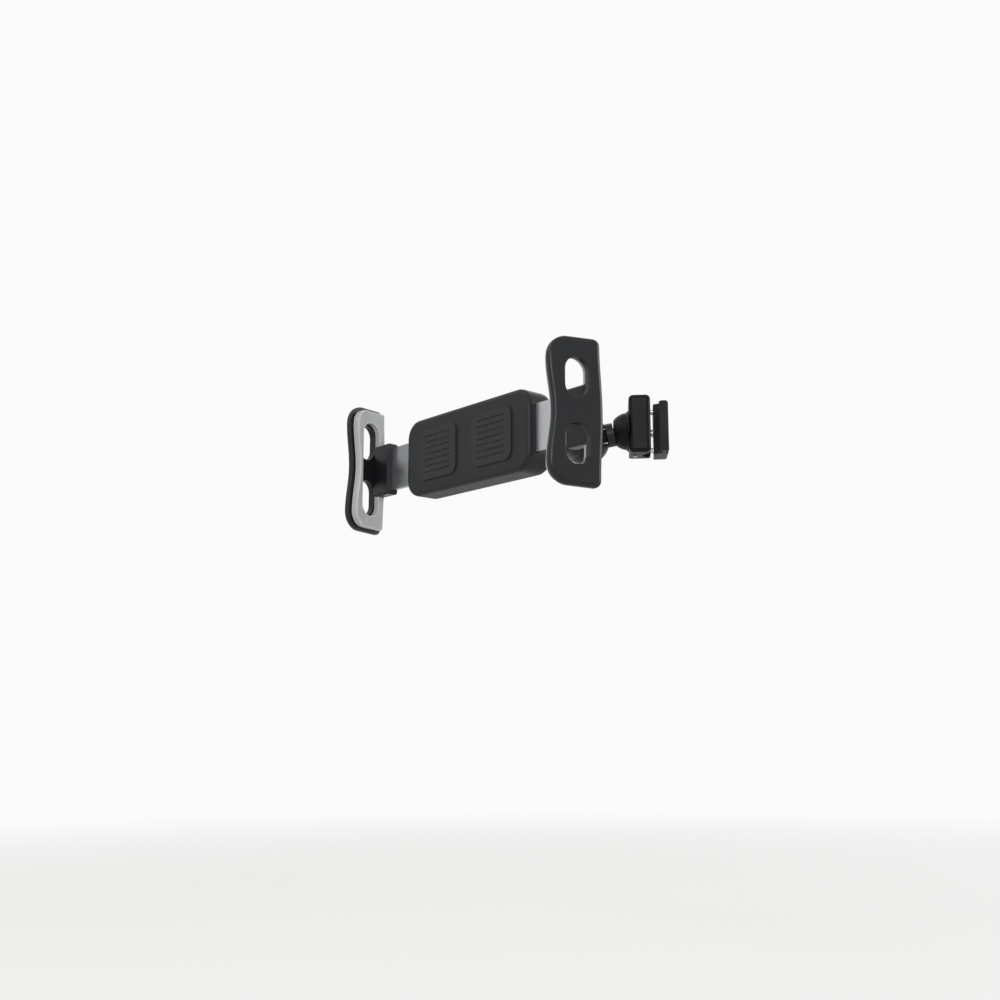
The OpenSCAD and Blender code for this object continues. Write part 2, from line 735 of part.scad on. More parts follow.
module rear_cover() {
    color(black) at_head() difference() {
        union() {
            pillow(split_y, rear_y, 0, head_round + 1);
            round_head([[rear_y - 1, 0], [rear_y - 1, 21], [rear_y + 0.4, 20.4], [rear_y + 2.4, 18.2],
                [rear_y + 6, 17.4], [rear_y + 6, sleeve_r], [sleeve_end, sleeve_r], [sleeve_end, 0]]);
            for (side = [-1, 1]) block(
                [-cavity_x + 1, pinion_y1 + 0.15, side > 0 ? slide_h / 2 - 4.4 : -slide_h / 2 + 0.4],
                [cavity_x - 1, split_y + 0.5, side > 0 ? slide_h / 2 - 0.4 : -slide_h / 2 + 4.4]);
        }
        bar_y(spring_r, split_y - 4, spring_y1 + 0.2);
        bar_y(pin_r + 0.02, split_y, pin_y1 + 0.1);
        bar_y(seat_r + fit, seat_y0 - 0.1, sleeve_end + 1);
        translate([0, ball_y, 0]) sphere(r = head_ball_r + 0.4, $fn = 96);
        for (x = [-1, 1], z = [-1, 1]) {
            bar_y(cover_screw_r + fit, split_y - cut, rear_y + 1, x * cover_screw_x, z * cover_screw_z);
            bar_y(2.9, rear_y - 2.6, rear_y + 1, x * cover_screw_x, z * cover_screw_z);
        }
    }
}

module front_cover() {
    half = slide_h / 2 + gap;
    color(black) at_head() difference() {
        pillow(face_y, split_y, head_round, 0);
        block([-cavity_x, slide_y - gap, -half], [cavity_x, split_y + 1, half]);
        for (k = [-3, -2, -1, 1, 2, 3]) translate([k * rib_step, 0, 0])
            block([-rib_step / 2 + 1, face_y + face_wall, -half + 2.5],
                [rib_step / 2 - 1, slide_y - 0.1, half - 2.5]);
        block([cavity_x - 2.5, slide_y - gap, -half], [head_w, slide_y + slide_t + gap, half]);
        block([-head_w, slide_y + slide_step - gap, -half],
            [2.5 - cavity_x, slide_y + slide_step + slide_t + gap, half]);
        for (x = [-1, 1], z = [-1, 1]) {
            bar_y(cover_screw_r, face_y + 3.5, split_y + 1, x * cover_screw_x, z * cover_screw_z);
            block([x > 0 ? 3 : 3 - cover_screw_x + 1, face_y + 3, z > 0 ? half + 1.8 : -head_h / 2 + 2.6],
                [x > 0 ? cover_screw_x - 4 : -3, split_y + 1, z > 0 ? head_h / 2 - 2.6 : -half - 1.8]);
        }
        bar_y(pin_r + 0.02, pin_y0 - 0.1, split_y);
        face_pad_solid(face_y - 1, face_y + 0.6, fit);
    }
}

module cover_screws() {
    color(steel) at_head() for (x = [-1, 1], z = [-1, 1]) difference() {
        union() {
            bar_y(cover_screw_r, face_y + 4, rear_y - 2.4, x * cover_screw_x, z * cover_screw_z);
            bar_y(2.8, rear_y - 2.6, rear_y - 0.9, x * cover_screw_x, z * cover_screw_z);
        }
        screw_cross(x * cover_screw_x, z * cover_screw_z, rear_y - 1.9, 3);
    }
}

// two soft pads with ribs on the face
module face_pads() {
    color(soft_black) at_head() difference() {
        face_pad_solid(face_y - face_pad_t, face_y + 0.6, 0);
        for (side = [-1, 1], k = [-3:3])
            block([side * face_pad_x - 13, face_y - face_pad_t - 1, k * 4 - 0.5],
                [side * face_pad_x + 13, face_y - face_pad_t + 0.5, k * 4 + 0.5]);
    }
}

module pinion() {
    color(pale_grey) at_head() pinion_wheel();
}

module pinion_pin() {
    color(steel) at_head() bar_y(pin_r, pin_y0, pin_y1);
}

module power_spring() {
    color(steel) at_head() spiral_strip();
}

module slide_right() {
    color(steel) at_head() slide_plate(0);
}

module slide_left() {
    color(steel) at_head() rotate([0, 180, 0]) slide_plate(1);
}

module claw_right() {
    color(black) at_head() claw(0);
}

module claw_left() {
    color(black) at_head() mirror([1, 0, 0]) claw(1);
}

module claw_pad_right() {
    color(pale_grey) at_head() claw_pad();
}

module claw_pad_left() {
    color(pale_grey) at_head() mirror([1, 0, 0]) claw_pad();
}

module claw_screws_right() {
    color(steel) at_head() claw_screws();
}

module claw_screws_left() {
    color(steel) at_head() mirror([1, 0, 0]) claw_screws();
}

clamp_body();
fixed_liner();
ball_cap();
tension_screw();
friction_ring();
clamp_jaw();
jaw_liner();
guide_rods();
clamp_screw();
clamp_knob();
short_bar();
long_bar();
elbow_bolt();
elbow_nut();
elbow_washers();
ball_seat();
lock_ring();
rear_cover();
front_cover();
cover_screws();
face_pads();
pinion();
pinion_pin();
power_spring();
slide_right();
slide_left();
claw_right();
claw_left();
claw_pad_right();
claw_pad_left();
claw_screws_right();
claw_screws_left();
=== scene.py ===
from math import atan, cos, degrees, pi, radians, sin

import bmesh
import bpy
from mathutils import Matrix, Vector


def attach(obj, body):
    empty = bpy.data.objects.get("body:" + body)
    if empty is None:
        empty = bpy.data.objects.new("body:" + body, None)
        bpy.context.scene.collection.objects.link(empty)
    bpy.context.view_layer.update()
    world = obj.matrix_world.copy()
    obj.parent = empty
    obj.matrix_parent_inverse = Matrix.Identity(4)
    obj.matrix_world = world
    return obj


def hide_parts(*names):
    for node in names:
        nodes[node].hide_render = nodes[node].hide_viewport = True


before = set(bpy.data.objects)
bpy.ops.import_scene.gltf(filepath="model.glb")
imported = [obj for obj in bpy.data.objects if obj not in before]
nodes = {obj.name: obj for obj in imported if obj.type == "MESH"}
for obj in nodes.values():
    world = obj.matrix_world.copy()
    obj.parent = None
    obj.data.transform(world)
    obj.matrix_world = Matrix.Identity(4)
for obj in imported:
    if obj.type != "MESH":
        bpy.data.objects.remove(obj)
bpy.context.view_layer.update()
print("frame loaded:", len(nodes), "nodes")

# middle of the line between the two claws' lips, where the head's own frame starts
lipsPoint = Vector((-0.0335856, -0.1633728, -0.0286336))


# camera, lights and floor

view = {
    "cameraAt": (0.5659, -0.6265, -0.2133),
    "cameraTurn": (100.9, 0.0, 49.3),
    "lens": 44.57,
    "sensor": 36,
    "clipFrom": 0.01,
}

studio = {
    "roomLight": 0.5,
    "roomTint": (1.0, 0.995, 0.985),
    "backdrop": 0.96,
    "floorHeight": -0.34,
    "floorSize": 60,
    "floorTone": (0.9, 0.9, 0.891),
    "floorRough": 0.8,
    "floorShine": 0.1,
    "floorGlow": 0.45,
    "fadeFrom": 0.35,
    "fadeTo": 1.5,
}

lampAim = Vector((-0.03, -0.12, -0.03))

lamps = {
    "keyLamp": {"at": (-0.25, -1.10, 0.95), "size": 0.8, "power": 4.2, "tint": (1.0, 0.985, 0.96)},
    "frontLamp": {"at": (0.82, -1.04, 0.26), "size": 0.28, "power": 5.0, "tint": (1.0, 0.995, 0.98)},
    "sideLamp": {"at": (0.75, 0.95, 0.35), "size": 0.35, "power": 4.5, "tint": (0.97, 0.985, 1.0)},
    "rimLamp": {"at": (-0.75, 0.75, 0.85), "size": 0.6, "power": 2.4, "tint": (1.0, 1.0, 1.0)},
}


def addCamera():
    data = bpy.data.cameras.new("photoCamera")
    data.lens = view["lens"]
    data.sensor_width = view["sensor"]
    data.clip_start = view["clipFrom"]
    camera = bpy.data.objects.new("photoCamera", data)
    camera.location = view["cameraAt"]
    camera.rotation_euler = [radians(a) for a in view["cameraTurn"]]
    bpy.context.scene.collection.objects.link(camera)
    bpy.context.scene.camera = camera


def addLamp(name, lamp):
    data = bpy.data.lights.new(name, "AREA")
    data.shape = "SQUARE"
    data.size = lamp["size"]
    data.energy = lamp["power"]
    data.color = lamp["tint"]
    obj = bpy.data.objects.new(name, data)
    obj.location = lamp["at"]
    obj.rotation_euler = (lampAim - obj.location).to_track_quat("-Z", "Y").to_euler()
    bpy.context.scene.collection.objects.link(obj)


# 1 for the rays that show the background: the camera's own, mirrored and see-through ones
def backgroundRays(tree):
    path = tree.nodes.new("ShaderNodeLightPath")
    shown = path.outputs["Is Camera Ray"]
    for ray in ("Is Glossy Ray", "Is Transmission Ray"):
        either = tree.nodes.new("ShaderNodeMath")
        either.operation = "MAXIMUM"
        tree.links.new(shown, either.inputs[0])
        tree.links.new(path.outputs[ray], either.inputs[1])
        shown = either.outputs[0]
    return shown


def lightRoom():
    world = bpy.data.worlds.new("studioRoom")
    world.use_nodes = True
    tree = world.node_tree
    background = tree.nodes["Background"]
    background.inputs["Color"].default_value = (*studio["roomTint"], 1)
    background.inputs["Strength"].default_value = studio["roomLight"]
    seen = tree.nodes.new("ShaderNodeBackground")
    seen.inputs["Color"].default_value = (1, 1, 1, 1)
    seen.inputs["Strength"].default_value = studio["backdrop"]
    mix = tree.nodes.new("ShaderNodeMixShader")
    tree.links.new(backgroundRays(tree), mix.inputs[0])
    tree.links.new(background.outputs[0], mix.inputs[1])
    tree.links.new(seen.outputs[0], mix.inputs[2])
    tree.links.new(mix.outputs[0], tree.nodes["World Output"].inputs["Surface"])
    bpy.context.scene.world = world


def addFloor():
    deselectAll()
    bpy.ops.mesh.primitive_plane_add(size=studio["floorSize"], location=(0, 0, studio["floorHeight"]))
    floor = bpy.context.active_object
    floor.name = "studioFloor"
    material = bpy.data.materials.new("paleFloor")
    material.use_nodes = True
    shader = material.node_tree.nodes["Principled BSDF"]
    shader.inputs["Base Color"].default_value = (*studio["floorTone"], 1)
    shader.inputs["Roughness"].default_value = studio["floorRough"]
    shader.inputs["Specular IOR Level"].default_value = studio["floorShine"]
    floor.data.materials.append(material)
    # the floor fades into the backdrop away from the part
    tree = material.node_tree
    place = tree.nodes.new("ShaderNodeTexCoord")
    reach = tree.nodes.new("ShaderNodeVectorMath")
    reach.operation = "LENGTH"
    tree.links.new(place.outputs["Object"], reach.inputs[0])
    far = tree.nodes.new("ShaderNodeMapRange")
    far.interpolation_type = "SMOOTHSTEP"
    far.inputs["From Min"].default_value = studio["fadeFrom"]
    far.inputs["From Max"].default_value = studio["fadeTo"]
    far.inputs["To Min"].default_value = studio["floorGlow"]
    tree.links.new(reach.outputs["Value"], far.inputs["Value"])
    shown = tree.nodes.new("ShaderNodeMath")
    shown.operation = "MULTIPLY"
    tree.links.new(far.outputs["Result"], shown.inputs[0])
    tree.links.new(backgroundRays(tree), shown.inputs[1])
    glow = tree.nodes.new("ShaderNodeEmission")
    glow.inputs["Strength"].default_value = studio["backdrop"]
    mix = tree.nodes.new("ShaderNodeMixShader")
    tree.links.new(shown.outputs[0], mix.inputs[0])
    tree.links.new(shader.outputs[0], mix.inputs[1])
    tree.links.new(glow.outputs[0], mix.inputs[2])
    tree.links.new(mix.outputs[0], tree.nodes["Material Output"].inputs["Surface"])


def deselectAll():
    if bpy.context.object and bpy.context.object.mode != "OBJECT":
        bpy.ops.object.mode_set(mode="OBJECT")
    bpy.ops.object.select_all(action="DESELECT")


def takeUp(obj):
    deselectAll()
    obj.select_set(True)
    bpy.context.view_layer.objects.active = obj


# materials

blackPlastics = {
    "clawBlack": {"tone": (0.0112, 0.0120, 0.0134), "rough": 0.35, "shine": 0.25,
                  "grain": 1500, "depth": 0.000035, "wear": 0.30},
    "headBlack": {"tone": (0.0100, 0.0107, 0.0118), "rough": 0.48, "shine": 0.26,
                  "grain": 1150, "depth": 0.00005, "wear": 0.22},
    "barBlack": {"tone": (0.0105, 0.0108, 0.0102), "rough": 0.36, "shine": 0.22,
                 "grain": 1900, "depth": 0.00002, "wear": 0.18},
    "clampBlack": {"tone": (0.0056, 0.0058, 0.0064), "rough": 0.38, "shine": 0.11,
                   "grain": 1300, "depth": 0.00004, "wear": 0.22},
    "knobBlack": {"tone": (0.0095, 0.0100, 0.0108), "rough": 0.52, "shine": 0.24,
                  "grain": 1000, "depth": 0.00006, "wear": 0.35},
}

# how every black plastic varies: clouds in its colour, polish from hands and rubbed edges
plasticDetail = {"cloudSize": 42, "cloudDepth": 0.16,
                 "polishSize": 26, "polishMix": 0.6, "polishLow": 0.05, "polishHigh": 0.07,
                 "rubSize": 210, "rubFrom": 0.42, "rubTo": 0.62, "rubLeast": 0.15,
                 "rubRadius": 0.0007, "rubTone": 2.6,
                 "grainStrength": 0.55, "swellSize": 0.35, "swellStrength": 0.5}

rubbers = {
    # clawPadGrey's edge tone and radius paint a highlight: the pad's rounded edges are coloured 1.8 times lighter, as
    # if catching the light
    "clawPadGrey": {"tone": (0.435, 0.44, 0.45), "rough": 0.72, "pebble": 1500, "depth": 0.00005,
                    "mottle": 0.10, "edge": 1.8, "edgeRadius": 0.0012},
    "softBlack": {"tone": (0.020, 0.0205, 0.0215), "rough": 0.82, "pebble": 1200, "depth": 0.00006, "mottle": 0.16},
    "linerBlack": {"tone": (0.018, 0.0185, 0.0195), "rough": 0.86, "pebble": 900, "depth": 0.00008, "mottle": 0.18,
                   "ribs": 120, "ribDepth": 0.0004},
}

rubberDetail = {"fineSize": 260, "fineMix": 0.6, "fineStrength": 0.4, "wideSize": 34, "mixLow": 0.7, "mixHigh": 1.3,
                "lightShare": 0.7, "roughSpread": 0.06, "ribStrength": 0.9, "pebbleStrength": 0.5,
                "shine": 0.32, "sheen": 0.08, "sheenRough": 0.5}

metals = {
    "zincSteel": {"tone": (0.60, 0.61, 0.62), "rough": 0.30, "brush": (300, 300, 2600), "depth": 0.000012},
    "slideSteel": {"tone": (0.46, 0.47, 0.49), "rough": 0.34, "brush": (60, 900, 2400), "depth": 0.000012},
    "springBlue": {"tone": (0.30, 0.33, 0.40), "rough": 0.28, "brush": (200, 60, 200), "depth": 0.000008},
}

metalDetail = {"lineMix": 0.65, "lineStrength": 0.7, "cloudSize": 60, "dark": 0.86, "light": 1.1,
               "smoother": 0.06, "rougher": 0.10}

nylon = {"tone": (0.66, 0.66, 0.62), "rough": 0.46, "flow": 120, "depth": 0.00003, "soft": 0.12, "softDepth": 0.001,
         "dark": 0.92, "light": 1.05, "smoother": 0.05, "rougher": 0.06, "grain": 1400, "grainStrength": 0.4}

# most of a noise texture's values lie between these two
noiseLow, noiseHigh = 0.3, 0.7


def newMaterial(name):
    material = bpy.data.materials.new(name)
    material.use_nodes = True
    tree = material.node_tree
    shader = tree.nodes["Principled BSDF"]
    place = tree.nodes.new("ShaderNodeTexCoord")
    return material, tree, shader, place.outputs["Object"]


def noise(tree, vector, scale, detail=3.0, rough=0.5):
    node = tree.nodes.new("ShaderNodeTexNoise")
    node.inputs["Scale"].default_value = scale
    node.inputs["Detail"].default_value = detail
    node.inputs["Roughness"].default_value = rough
    tree.links.new(vector, node.inputs["Vector"])
    return node.outputs["Fac"]


def remap(tree, value, fromLow, fromHigh, toLow, toHigh):
    node = tree.nodes.new("ShaderNodeMapRange")
    for socket, number in zip(("From Min", "From Max", "To Min", "To Max"), (fromLow, fromHigh, toLow, toHigh)):
        node.inputs[socket].default_value = number
    tree.links.new(value, node.inputs["Value"])
    return node.outputs["Result"]


def twoTones(tree, factor, darker, lighter):
    node = tree.nodes.new("ShaderNodeMix")
    node.data_type = "RGBA"
    tree.links.new(factor, node.inputs[0])
    for socket, tone in ((node.inputs[6], darker), (node.inputs[7], lighter)):
        if isinstance(tone, bpy.types.NodeSocket):
            tree.links.new(tone, socket)
        else:
            socket.default_value = (*tone, 1)
    return node.outputs[2]


def addBump(tree, shader, height, distance, strength=1.0, under=None):
    node = tree.nodes.new("ShaderNodeBump")
    node.inputs["Distance"].default_value = distance
    node.inputs["Strength"].default_value = strength
    tree.links.new(height, node.inputs["Height"])
    if under:
        tree.links.new(under, node.inputs["Normal"])
    if shader:
        tree.links.new(node.outputs["Normal"], shader.inputs["Normal"])
    return node.outputs["Normal"]


def scaledTone(tone, factor):
    return tuple(min(1.0, c * factor) for c in tone)


# roughness that wanders with a noise, from a bit smoother to a bit rougher
def setRoughness(tree, shader, value, rough, smoother, rougher):
    tree.links.new(remap(tree, value, noiseLow, noiseHigh, rough - smoother, rough + rougher),
                   shader.inputs["Roughness"])


edges = {"samples": 4, "fullTurn": 0.86}  # fullTurn: cosine of the turn at which an edge is fully rubbed on the black plastics, and fully lit by the painted highlight on the claw pads


# shows the rounded edges, where the rounded normal leaves the true one: rubbed wear on the black plastics, a painted
# highlight on the claw pads
def edgeWearAndHighlightMask(tree, radius):
    bevel = tree.nodes.new("ShaderNodeBevel")
    bevel.samples = edges["samples"]
    bevel.inputs["Radius"].default_value = radius
    geometry = tree.nodes.new("ShaderNodeNewGeometry")
    dot = tree.nodes.new("ShaderNodeVectorMath")
    dot.operation = "DOT_PRODUCT"
    tree.links.new(bevel.outputs["Normal"], dot.inputs[0])
    tree.links.new(geometry.outputs["Normal"], dot.inputs[1])
    return remap(tree, dot.outputs["Value"], 1.0, edges["fullTurn"], 0.0, 1.0)


def blackPlastic(name, look):
    material, tree, shader, place = newMaterial(name)
    tone = look["tone"]
    spread = plasticDetail["cloudDepth"]
    cloud = noise(tree, place, plasticDetail["cloudSize"], 4)
    colour = twoTones(tree, cloud, scaledTone(tone, 1 - spread), scaledTone(tone, 1 + spread))
    rubbed = tree.nodes.new("ShaderNodeMath")
    rubbed.operation = "MULTIPLY"
    patches = noise(tree, place, plasticDetail["rubSize"], 3)
    tree.links.new(edgeWearAndHighlightMask(tree, plasticDetail["rubRadius"]), rubbed.inputs[0])
    least = plasticDetail["rubLeast"]
    wornPatches = remap(tree, patches, plasticDetail["rubFrom"], plasticDetail["rubTo"], least, look["wear"] + least)
    tree.links.new(wornPatches, rubbed.inputs[1])
    colour = twoTones(tree, rubbed.outputs[0], colour, scaledTone(tone, plasticDetail["rubTone"]))
    tree.links.new(colour, shader.inputs["Base Color"])
    # handling polish in soft patches
    polish = noise(tree, place, plasticDetail["polishSize"], 5, plasticDetail["polishMix"])
    setRoughness(tree, shader, polish, look["rough"], plasticDetail["polishLow"], plasticDetail["polishHigh"])
    # spark-eroded grain of the mould: pits between raised grains
    pits = tree.nodes.new("ShaderNodeTexVoronoi")
    pits.feature = "SMOOTH_F1"
    pits.inputs["Scale"].default_value = look["grain"]
    tree.links.new(place, pits.inputs["Vector"])
    swell = noise(tree, place, look["grain"] * plasticDetail["swellSize"], 2)
    under = addBump(tree, None, swell, look["depth"], plasticDetail["swellStrength"])
    addBump(tree, shader, pits.outputs["Distance"], look["depth"], plasticDetail["grainStrength"], under)
    shader.inputs["Specular IOR Level"].default_value = look["shine"]
    return material


def rubber(name, look):
    material, tree, shader, place = newMaterial(name)
    tone = look["tone"]
    spread = look["mottle"]
    fine = noise(tree, place, rubberDetail["fineSize"], 4, rubberDetail["fineMix"])
    wide = noise(tree, place, rubberDetail["wideSize"], 3)
    mixed = tree.nodes.new("ShaderNodeMath")
    mixed.operation = "ADD"
    tree.links.new(fine, mixed.inputs[0])
    tree.links.new(wide, mixed.inputs[1])
    colour = twoTones(tree, remap(tree, mixed.outputs[0], rubberDetail["mixLow"], rubberDetail["mixHigh"], 0, 1),
                      scaledTone(tone, 1 - spread), scaledTone(tone, 1 + spread * rubberDetail["lightShare"]))
    # painted highlight: where a look gives an edge tone, the rounded edges are coloured lighter to stand in for light
    # catching them
    if "edge" in look:
        colour = twoTones(tree, edgeWearAndHighlightMask(tree, look["edgeRadius"]), colour, scaledTone(tone, look["edge"]))
    tree.links.new(colour, shader.inputs["Base Color"])
    setRoughness(tree, shader, wide, look["rough"], rubberDetail["roughSpread"], rubberDetail["roughSpread"])
    pebble = tree.nodes.new("ShaderNodeTexVoronoi")
    pebble.feature = "SMOOTH_F1"
    pebble.inputs["Scale"].default_value = look["pebble"]
    tree.links.new(place, pebble.inputs["Vector"])
    under = addBump(tree, None, fine, look["depth"], rubberDetail["fineStrength"])
    if "ribs" in look:
        bands = tree.nodes.new("ShaderNodeTexWave")
        bands.bands_direction = "Z"
        bands.wave_profile = "SIN"
        bands.inputs["Scale"].default_value = look["ribs"]
        tree.links.new(place, bands.inputs["Vector"])
        under = addBump(tree, None, bands.outputs["Fac"], look["ribDepth"], rubberDetail["ribStrength"], under)
    addBump(tree, shader, pebble.outputs["Distance"], look["depth"], rubberDetail["pebbleStrength"], under)
    shader.inputs["Specular IOR Level"].default_value = rubberDetail["shine"]
    shader.inputs["Sheen Weight"].default_value = rubberDetail["sheen"]
    shader.inputs["Sheen Roughness"].default_value = rubberDetail["sheenRough"]
    return material


def metal(name, look):
    material, tree, shader, place = newMaterial(name)
    stretch = tree.nodes.new("ShaderNodeMapping")
    stretch.inputs["Scale"].default_value = look["brush"]
    tree.links.new(place, stretch.inputs["Vector"])
    lines = noise(tree, stretch.outputs["Vector"], 1.0, 4, metalDetail["lineMix"])
    cloud = noise(tree, place, metalDetail["cloudSize"], 4)
    colour = twoTones(tree, cloud, scaledTone(look["tone"], metalDetail["dark"]),
                      scaledTone(look["tone"], metalDetail["light"]))
    tree.links.new(colour, shader.inputs["Base Color"])
    setRoughness(tree, shader, lines, look["rough"], metalDetail["smoother"], metalDetail["rougher"])
    addBump(tree, shader, lines, look["depth"], metalDetail["lineStrength"])
    shader.inputs["Metallic"].default_value = 1.0
    return material


def paleNylon(name, look):
    material, tree, shader, place = newMaterial(name)
    flow = noise(tree, place, look["flow"], 3)
    colour = twoTones(tree, flow, scaledTone(look["tone"], look["dark"]), scaledTone(look["tone"], look["light"]))
    tree.links.new(colour, shader.inputs["Base Color"])
    setRoughness(tree, shader, flow, look["rough"], look["smoother"], look["rougher"])
    addBump(tree, shader, noise(tree, place, look["grain"], 2), look["depth"], look["grainStrength"])
    shader.inputs["Subsurface Weight"].default_value = look["soft"]
    shader.inputs["Subsurface Scale"].default_value = look["softDepth"]
    return material


finishes = {name: blackPlastic(name, look) for name, look in blackPlastics.items()}
finishes.update({name: metal(name, look) for name, look in metals.items()})
finishes.update({name: rubber(name, look) for name, look in rubbers.items()})
finishes["paleNylon"] = paleNylon("paleNylon", nylon)

print("materials ready:", len(finishes))


def paint(obj, finish):
    obj.data.materials.clear()
    obj.data.materials.append(finishes[finish])


# modelling helpers

def startEdit(obj, mode="FACE"):
    takeUp(obj)
    bpy.ops.object.mode_set(mode="EDIT")
    bpy.ops.mesh.select_mode(type=mode)


def endEdit():
    bpy.ops.object.mode_set(mode="OBJECT")


# selects the faces of the piece being edited whose centre and normal pass the test
def pickFaces(obj, test):
    bpy.ops.mesh.select_mode(type="FACE")
    bpy.ops.mesh.select_all(action="DESELECT")
    mesh = bmesh.from_edit_mesh(obj.data)
    for face in mesh.faces:
        if test(face.calc_center_median(), face.normal):
            face.select_set(True)
    bmesh.update_edit_mesh(obj.data)


# selects the edges whose two ends and middle pass the test
def pickEdges(obj, test):
    bpy.ops.mesh.select_mode(type="EDGE")
    bpy.ops.mesh.select_all(action="DESELECT")
    mesh = bmesh.from_edit_mesh(obj.data)
    for edge in mesh.edges:
        a, b = (v.co for v in edge.verts)
        if test(a, b):
            edge.select_set(True)
    bmesh.update_edit_mesh(obj.data)


def faceOut():
    bpy.ops.mesh.select_all(action="SELECT")
    bpy.ops.mesh.normals_make_consistent(inside=False)


def applyModifier(obj, modifier):
    takeUp(obj)
    bpy.ops.object.modifier_apply(modifier=modifier.name)


def cutWith(obj, cutter, operation="DIFFERENCE"):
    modifier = obj.modifiers.new("cut", "BOOLEAN")
    modifier.operation = operation
    modifier.solver = "EXACT"
    modifier.object = cutter
    applyModifier(obj, modifier)
    bpy.data.objects.remove(cutter)


def roundEdges(obj, width, segments=3, angle=40):
    modifier = obj.modifiers.new("roundEdges", "BEVEL")
    modifier.width = width
    modifier.segments = segments
    modifier.limit_method = "ANGLE"
    modifier.angle_limit = radians(angle)
    modifier.use_clamp_overlap = True
    applyModifier(obj, modifier)


def smoothOut(obj, angle=32):
    takeUp(obj)
    bpy.ops.object.shade_smooth_by_angle(angle=radians(angle))
    modifier = obj.modifiers.new("flatFacesFirst", "WEIGHTED_NORMAL")
    modifier.keep_sharp = True
    modifier.weight = 80
    applyModifier(obj, modifier)


# moves a piece made about the origin to its place and leaves its object at the origin
def settle(obj, matrix):
    takeUp(obj)
    obj.matrix_world = matrix
    bpy.ops.object.transform_apply(location=True, rotation=True, scale=True)


def finishPiece(obj, finish, body, *replaced):
    paint(obj, finish)
    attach(obj, body)
    if replaced:
        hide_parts(*replaced)


# a filled plate on an outline of (across, up) points, at one depth
def outlinePlate(name, points, depth):
    deselectAll()
    bpy.ops.mesh.primitive_circle_add(vertices=len(points), radius=0.02, fill_type="NGON")
    plate = bpy.context.active_object
    plate.name = plate.data.name = name
    for vertex, (across, up) in zip(plate.data.vertices, points):
        vertex.co = (across, depth, up)
    return plate


def slotPoints(centre, width, rise, height, steps=20):
    radius = width / 2
    reach = height / 2 - radius
    points = []
    for i in range(2 * steps + 2):
        turn = pi * (i if i <= steps else i - 1) / steps
        lift = reach if i <= steps else -reach
        points.append((centre + radius * cos(turn), rise + lift + radius * sin(turn)))
    return points


def slotCutter(centre, width, rise, height, depthFrom, depthTo):
    cutter = outlinePlate("slotCutter", slotPoints(centre, width, rise, height), depthFrom)
    startEdit(cutter)
    bpy.ops.mesh.select_all(action="SELECT")
    bpy.ops.mesh.extrude_region_move(TRANSFORM_OT_translate={"value": (0, depthTo - depthFrom, 0)})
    faceOut()
    endEdit()
    return cutter


def boxCutter(low, high):
    low, high = Vector(low), Vector(high)
    deselectAll()
    bpy.ops.mesh.primitive_cube_add(size=1, location=(low + high) / 2, scale=high - low)
    bpy.ops.object.transform_apply(location=True, rotation=True, scale=True)
    return bpy.context.active_object


# claws

claw = {
    "gripWidth": 0.208, "height": 0.088, "depth": 0.0343, "lean": 15,
    "shell": 0.0049, "pad": 0.004, "ridge": 0.0016,
    "waist": 0.0031, "backBow": 0.0016, "backDrop": -0.0004,
    "lipCorner": 0.013, "backCorner": 0.0045,
    "windowWidth": 0.0153, "windowHeight": 0.0241, "windowRise": 0.0196, "windowBack": 0.0107,
    # each step inward and outward of the rolled rim, from the shell's side to its face
    "rimStart": 0.0026,
    "rimSteps": ((0.00005, 0.0005), (0.00025, 0.00065), (0.0005, 0.0006), (0.0007, 0.00045),
                 (0.0009, 0.0003), (0.0008, 0.0001), (0.0006, -0.0002)),
    "shellEdge": 0.0006, "seam": 0.0006, "seamInset": 0.0008,
    "padInset": 0.0026, "padSlotGrow": 0.0011, "padSlotEase": 0.0004, "padEdge": 0.0005,
    "ridgeWidth": 0.0025, "ridgeCrown": 0.0005, "ridgeInset": 0.0006,
    # cutters start and end this deep, past the shell and past the pad
    "windowCut": (-0.002, 0.008), "padSlotCut": (0.002, 0.014),
    "lipSteps": 18, "lipArcSteps": 12, "backSteps": 12, "backArcSteps": 8, "backTurn": 8, "backReach": 0.001,
}

onFace = 1e-5  # a face this near a plane lies on it
facing = 0.9  # part of a normal that makes a face look one way


def arcPoints(across, up, radius, fromTurn, toTurn, steps):
    turns = [radians(fromTurn + (toTurn - fromTurn) * i / steps) for i in range(steps + 1)]
    return [(across + radius * cos(t), up + radius * sin(t)) for t in turns]


# from -1 to 1 in even steps, without the two ends
def evenSteps(count):
    return [i / count for i in range(1 - count, count)]


# full at the middle and nothing at either end
def bowAt(t):
    return cos(radians(90 * t)) ** 2


